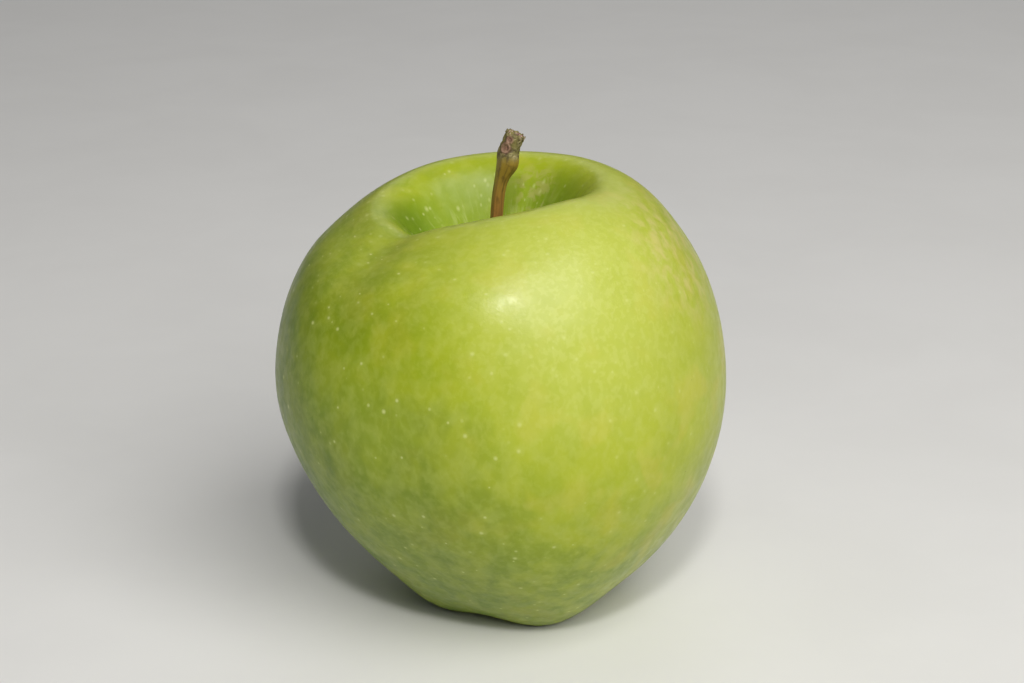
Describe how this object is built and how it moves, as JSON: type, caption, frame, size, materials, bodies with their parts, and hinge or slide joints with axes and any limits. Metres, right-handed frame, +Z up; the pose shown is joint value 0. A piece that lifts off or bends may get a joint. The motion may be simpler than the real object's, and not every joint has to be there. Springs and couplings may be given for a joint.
{
  "type": "apple",
  "caption": "Whole green apple, lopsided and narrow at its base, with a woody stem in its cavity and the dried flower underneath.",
  "frame": {"origin": "on the table, below the middle of the apple's bounding box", "axes": "+Z up along the fruit's axis, -Y towards the front, +X to the right seen from the front"},
  "size_m": [0.0746, 0.0746, 0.0816],
  "materials": {
    "green_skin": "waxy fruit skin, semi-gloss, mottled yellow-green with pale dots",
    "stem_bark": "rough olive-brown bark, broken pale end",
    "dried_sepal": "dry, matte, downy grey-green leaf",
    "dried_stamen": "dry, matte, dark brown threads"
  },
  "bodies": {
    "root": {"fruit": "green_skin", "stem": "stem_bark", "dried_stamens": "dried_stamen", "sepal_1": "dried_sepal", "sepal_2": "dried_sepal", "sepal_3": "dried_sepal", "sepal_4": "dried_sepal", "sepal_5": "dried_sepal"}
  },
  "joints": []
}
